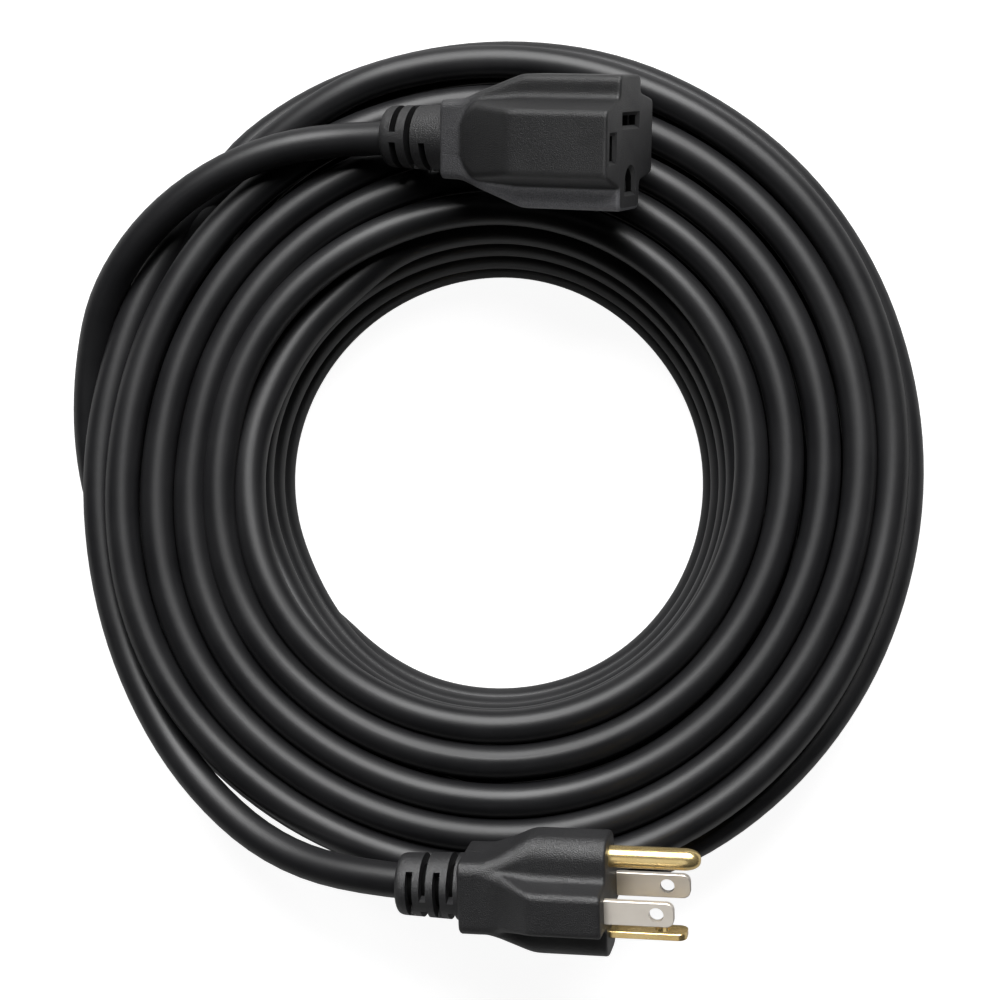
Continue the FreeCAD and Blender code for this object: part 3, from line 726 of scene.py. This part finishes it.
def tinted(tree, shader, value, dark, light):
    """Mixes the base colour between two colours."""
    ramp = tree.nodes.new("ShaderNodeValToRGB")
    ramp.color_ramp.elements[0].position = 0.3
    ramp.color_ramp.elements[0].color = (*dark, 1)
    ramp.color_ramp.elements[1].position = 0.7
    ramp.color_ramp.elements[1].color = (*light, 1)
    tree.links.new(value, ramp.inputs["Fac"])
    tree.links.new(ramp.outputs["Color"], shader.inputs["Base Color"])


def bumped(tree, shader, value, strength, distance):
    """Raises the surface by a noise."""
    bump = tree.nodes.new("ShaderNodeBump")
    bump.inputs["Strength"].default_value = strength
    bump.inputs["Distance"].default_value = distance
    tree.links.new(value, bump.inputs["Height"])
    tree.links.new(bump.outputs["Normal"], shader.inputs["Normal"])


def jacket_material():
    """Satin rubber with long faint streaks along the cord and a few smudges."""
    material, tree, shader = shader_of("jacket", (0.009, 0.009, 0.01), 0.42)
    streaks = noise(tree, 1.0, 4.0, (14.0, 9.0, 1.0), "UV")
    tree.links.new(spread(tree, streaks, 0.36, 0.5), shader.inputs["Roughness"])
    smudges = noise(tree, 70.0, 3.0)
    tinted(tree, shader, smudges, (0.007, 0.007, 0.008), (0.013, 0.013, 0.014))
    bumped(tree, shader, noise(tree, 900.0, 2.0), 0.06, 0.0002)
    return material


def grained(name, dark, light, roughness, scale=5200.0, strength=0.35, painted_lightening=0.0, specular=0.6):
    """Matt plastic with a fine grain; with a lightening amount, the base colour is painted lighter where the
    mesh marks painted light, on the connector's slab, neck and face.
    """
    material, tree, shader = shader_of(name, light, roughness, specular=specular)
    tinted(tree, shader, noise(tree, scale, 2.0), dark, light)
    # Painted light: the mesh's mark scales the base colour up, in place of light falling on the slab, neck
    # and face.
    if painted_lightening:
        mark = tree.nodes.new("ShaderNodeAttribute")
        mark.attribute_name = "painted_light"
        amount = spread(tree, mark.outputs["Fac"], 1.0, 1.0 + 3 * painted_lightening, 0.0, 3.0)
        lighter = tree.nodes.new("ShaderNodeVectorMath")
        lighter.operation = "SCALE"
        tree.links.new(shader.inputs["Base Color"].links[0].from_socket, lighter.inputs[0])
        tree.links.new(amount, lighter.inputs["Scale"])
        tree.links.new(lighter.outputs["Vector"], shader.inputs["Base Color"])
    rubbed = spread(tree, noise(tree, 120.0), roughness - 0.04, roughness + 0.06)
    tree.links.new(rubbed, shader.inputs["Roughness"])
    bumped(tree, shader, noise(tree, scale, 2.0), strength, 0.0004)
    return material


def metal(name, dark, light, roughness, plated=0.65):
    """Plated or bare metal with faint rubbed streaks along the blades."""
    material, tree, shader = shader_of(name, light, roughness, plated)
    tinted(tree, shader, noise(tree, 160.0, 3.0), dark, light)
    rubbed = noise(tree, 1.0, 2.0, (150.0, 1400.0, 1400.0))
    tree.links.new(spread(tree, rubbed, roughness - 0.02, roughness + 0.04), shader.inputs["Roughness"])
    return material


WIRE_GRAIN = 900.0
materials = {
    "jacket": jacket_material(),
    "moulding": grained("moulding", (0.006, 0.006, 0.0065), (0.016, 0.016, 0.017), 0.43, 4300.0, 0.5),
    # Painted light: the connector's cover is painted several times lighter on its slab, neck, lower side and
    # face, where the mesh marks it.
    "moulding_painted_light": grained(
        "moulding_painted_light", (0.003, 0.003, 0.0035), (0.01, 0.01, 0.0105), 0.45, 4300.0, 0.42, painted_lightening=4.0
    ),
    # Painted shade: near black and barely reflecting, for the deep walls of the openings and the floors of
    # the reliefs' slots.
    "painted_shade_recess": grained("painted_shade_recess", (0.001, 0.001, 0.001), (0.003, 0.003, 0.003), 0.8, specular=0.05),
    "inner_plastic": grained("inner_plastic", (0.02, 0.02, 0.02), (0.03, 0.03, 0.03), 0.5),
    "brass": metal("brass", (0.8, 0.58, 0.24), (0.9, 0.7, 0.34), 0.24, 0.85),
    "nickel": metal("nickel", (0.76, 0.70, 0.62), (0.84, 0.78, 0.70), 0.36, 0.6),
    "copper": metal("copper", (0.7, 0.33, 0.18), (0.85, 0.45, 0.27), 0.35),
    "ground": grained("wire_green", (0.02, 0.2, 0.05), (0.03, 0.26, 0.07), 0.4, WIRE_GRAIN),
    "neutral": grained("wire_white", (0.62, 0.62, 0.6), (0.72, 0.72, 0.7), 0.4, WIRE_GRAIN),
    "line_x": grained("wire_black", (0.012, 0.012, 0.012), (0.02, 0.02, 0.02), 0.4, WIRE_GRAIN),
    "line_y": grained("wire_red", (0.36, 0.02, 0.016), (0.46, 0.03, 0.02), 0.4, WIRE_GRAIN),
}


def material_of(name):
    """A CAD node's material, told by its name."""
    if "_wire_" in name:
        return materials[name.split("_wire_")[1]]
    if "copper" in name:
        return materials["copper"]
    if name in ("plug_blade_line_x", "plug_blade_line_y"):
        return materials["nickel"]
    if any(word in name for word in ("contact", "sleeve", "blade", "ground_pin")):
        return materials["brass"]
    if "inner" in name:
        return materials["inner_plastic"]
    return materials["moulding"]


for name, node in nodes.items():
    node.data.materials.clear()
    node.data.materials.append(material_of(name))
for piece, slot in (
    (cord, "jacket"),
    (plug_cover, "moulding"),
    (connector_cover, "moulding"),
    (plug_relief, "moulding"),
    (connector_relief, "moulding"),
    (plug_bridge, "inner_plastic"),
    (blades["prong_line_x"], "nickel"),
    (blades["prong_line_y"], "nickel"),
    (blades["prong_neutral"], "brass"),
    (pin, "brass"),
):
    piece.data.materials.clear()
    piece.data.materials.append(materials["moulding_painted_light" if piece == connector_cover else slot])


def in_slot(centre):
    """Whether a face lies on the floor of a strain relief's slot, which gets painted shade."""
    return math.hypot(centre.y, centre.z) < SLOT_FLOOR + 0.1 and centre.x > 2


# Painted shade: faces deep in the openings and on the slot floors get the near-black recess material.
for piece, place, in_painted_shade in (
    (connector_cover, CONNECTOR_FRAME, in_opening),
    (connector_relief, CONNECTOR_FRAME, in_slot),
    (plug_relief, PLUG_FRAME, in_slot),
):
    piece.data.materials.append(materials["painted_shade_recess"])
    back = place.inverted()
    for face in piece.data.polygons:
        if in_painted_shade(back @ face.center):
            face.material_index = 1


# The floor is as white as the backdrop to the camera and dimmer in reflections, and keeps a faint shadow
def backdrop(tree, plain_shader, strength, mirrored):
    """Adds white to what the camera and, less, reflections see of a surface."""
    rays = tree.nodes.new("ShaderNodeLightPath")
    dimmed = tree.nodes.new("ShaderNodeMath")
    dimmed.operation = "MULTIPLY"
    dimmed.inputs[1].default_value = mirrored
    tree.links.new(rays.outputs["Is Glossy Ray"], dimmed.inputs[0])
    seen = tree.nodes.new("ShaderNodeMath")
    seen.operation = "MAXIMUM"
    tree.links.new(rays.outputs["Is Camera Ray"], seen.inputs[0])
    tree.links.new(dimmed.outputs[0], seen.inputs[1])
    glow = tree.nodes.new("ShaderNodeEmission")
    amount = tree.nodes.new("ShaderNodeMath")
    amount.operation = "MULTIPLY"
    amount.inputs[1].default_value = strength
    tree.links.new(seen.outputs[0], amount.inputs[0])
    tree.links.new(amount.outputs[0], glow.inputs["Strength"])
    both = tree.nodes.new("ShaderNodeAddShader")
    tree.links.new(plain_shader, both.inputs[0])
    tree.links.new(glow.outputs[0], both.inputs[1])
    tree.links.new(both.outputs[0], tree.nodes["Material Output"].inputs["Surface"])


floor = bpy.data.objects.new("floor", bpy.data.meshes.new("floor"))
scene.collection.objects.link(floor)
floor.data.from_pydata([(-3, -3, 0), (3, -3, 0), (3, 3, 0), (-3, 3, 0)], [], [(0, 1, 2, 3)])
floor_material, floor_tree, floor_shader = shader_of("floor", (0.35, 0.35, 0.35), 0.9, specular=0.1)
backdrop(floor_tree, floor_shader.outputs[0], 0.94, 0.15)
floor.data.materials.append(floor_material)


def sky_light():
    """A world that is white to the camera and a soft grey to all else, darker towards the top."""
    world = bpy.data.worlds.new("world")
    scene.world = world
    world.use_nodes = True
    tree = world.node_tree
    rays = tree.nodes.new("ShaderNodeLightPath")
    direction = tree.nodes.new("ShaderNodeTexCoord")
    parts = tree.nodes.new("ShaderNodeSeparateXYZ")
    height = tree.nodes.new("ShaderNodeMapRange")
    height.interpolation_type = "SMOOTHSTEP"
    height.inputs["From Min"].default_value = 0.12
    height.inputs["From Max"].default_value = 0.4
    height.inputs["To Min"].default_value = 0.4
    height.inputs["To Max"].default_value = 0.16
    seen = tree.nodes.new("ShaderNodeMix")
    seen.data_type = "FLOAT"
    seen.inputs["B"].default_value = 1.0
    tree.links.new(direction.outputs["Generated"], parts.inputs["Vector"])
    tree.links.new(parts.outputs["Z"], height.inputs["Value"])
    tree.links.new(rays.outputs["Is Camera Ray"], seen.inputs["Factor"])
    tree.links.new(height.outputs["Result"], seen.inputs["A"])
    tree.links.new(seen.outputs["Result"], tree.nodes["Background"].inputs["Strength"])


sky_light()
scene.view_settings.view_transform = "Standard"


def area_light(name, direction, size, radiance, pieces=()):
    """A round soft light that faces the coil, of the radiance it is seen at, on all pieces or on some."""
    lamp = bpy.data.lights.new(name, "AREA")
    lamp.shape = "DISK"
    lamp.size = size
    lamp.energy = radiance * math.pi * math.pi * (size / 2) ** 2
    light = bpy.data.objects.new(name, lamp)
    scene.collection.objects.link(light)
    light.location = COIL + Vector(direction).normalized() * LIGHT_DISTANCE
    light.rotation_mode = "QUATERNION"
    light.rotation_quaternion = Vector(direction).to_track_quat("Z", "Y")
    if pieces:
        lit = bpy.data.collections.new(f"{name} pieces")
        for piece in pieces:
            lit.objects.link(piece)
        light.light_linking.receiver_collection = lit


LIGHT_DISTANCE = 1.3
plug_end = (plug_cover, plug_relief)
area_light("softbox", (0.0, 0.64, 0.77), 1.15, 9.5)
area_light("fill", (-0.45, -0.5, 0.74), 1.1, 0.36, (*plug_end, connector_cover, connector_relief))
area_light("side", (-0.25, 0.63, 0.74), 0.8, 9.0, plug_end)
area_light("front", (0.15, -0.8, 0.58), 0.8, 4.2, (connector_cover,))
area_light("metal_fill", (-0.45, -0.5, 0.74), 1.3, 0.72, (pin, *blades.values()))
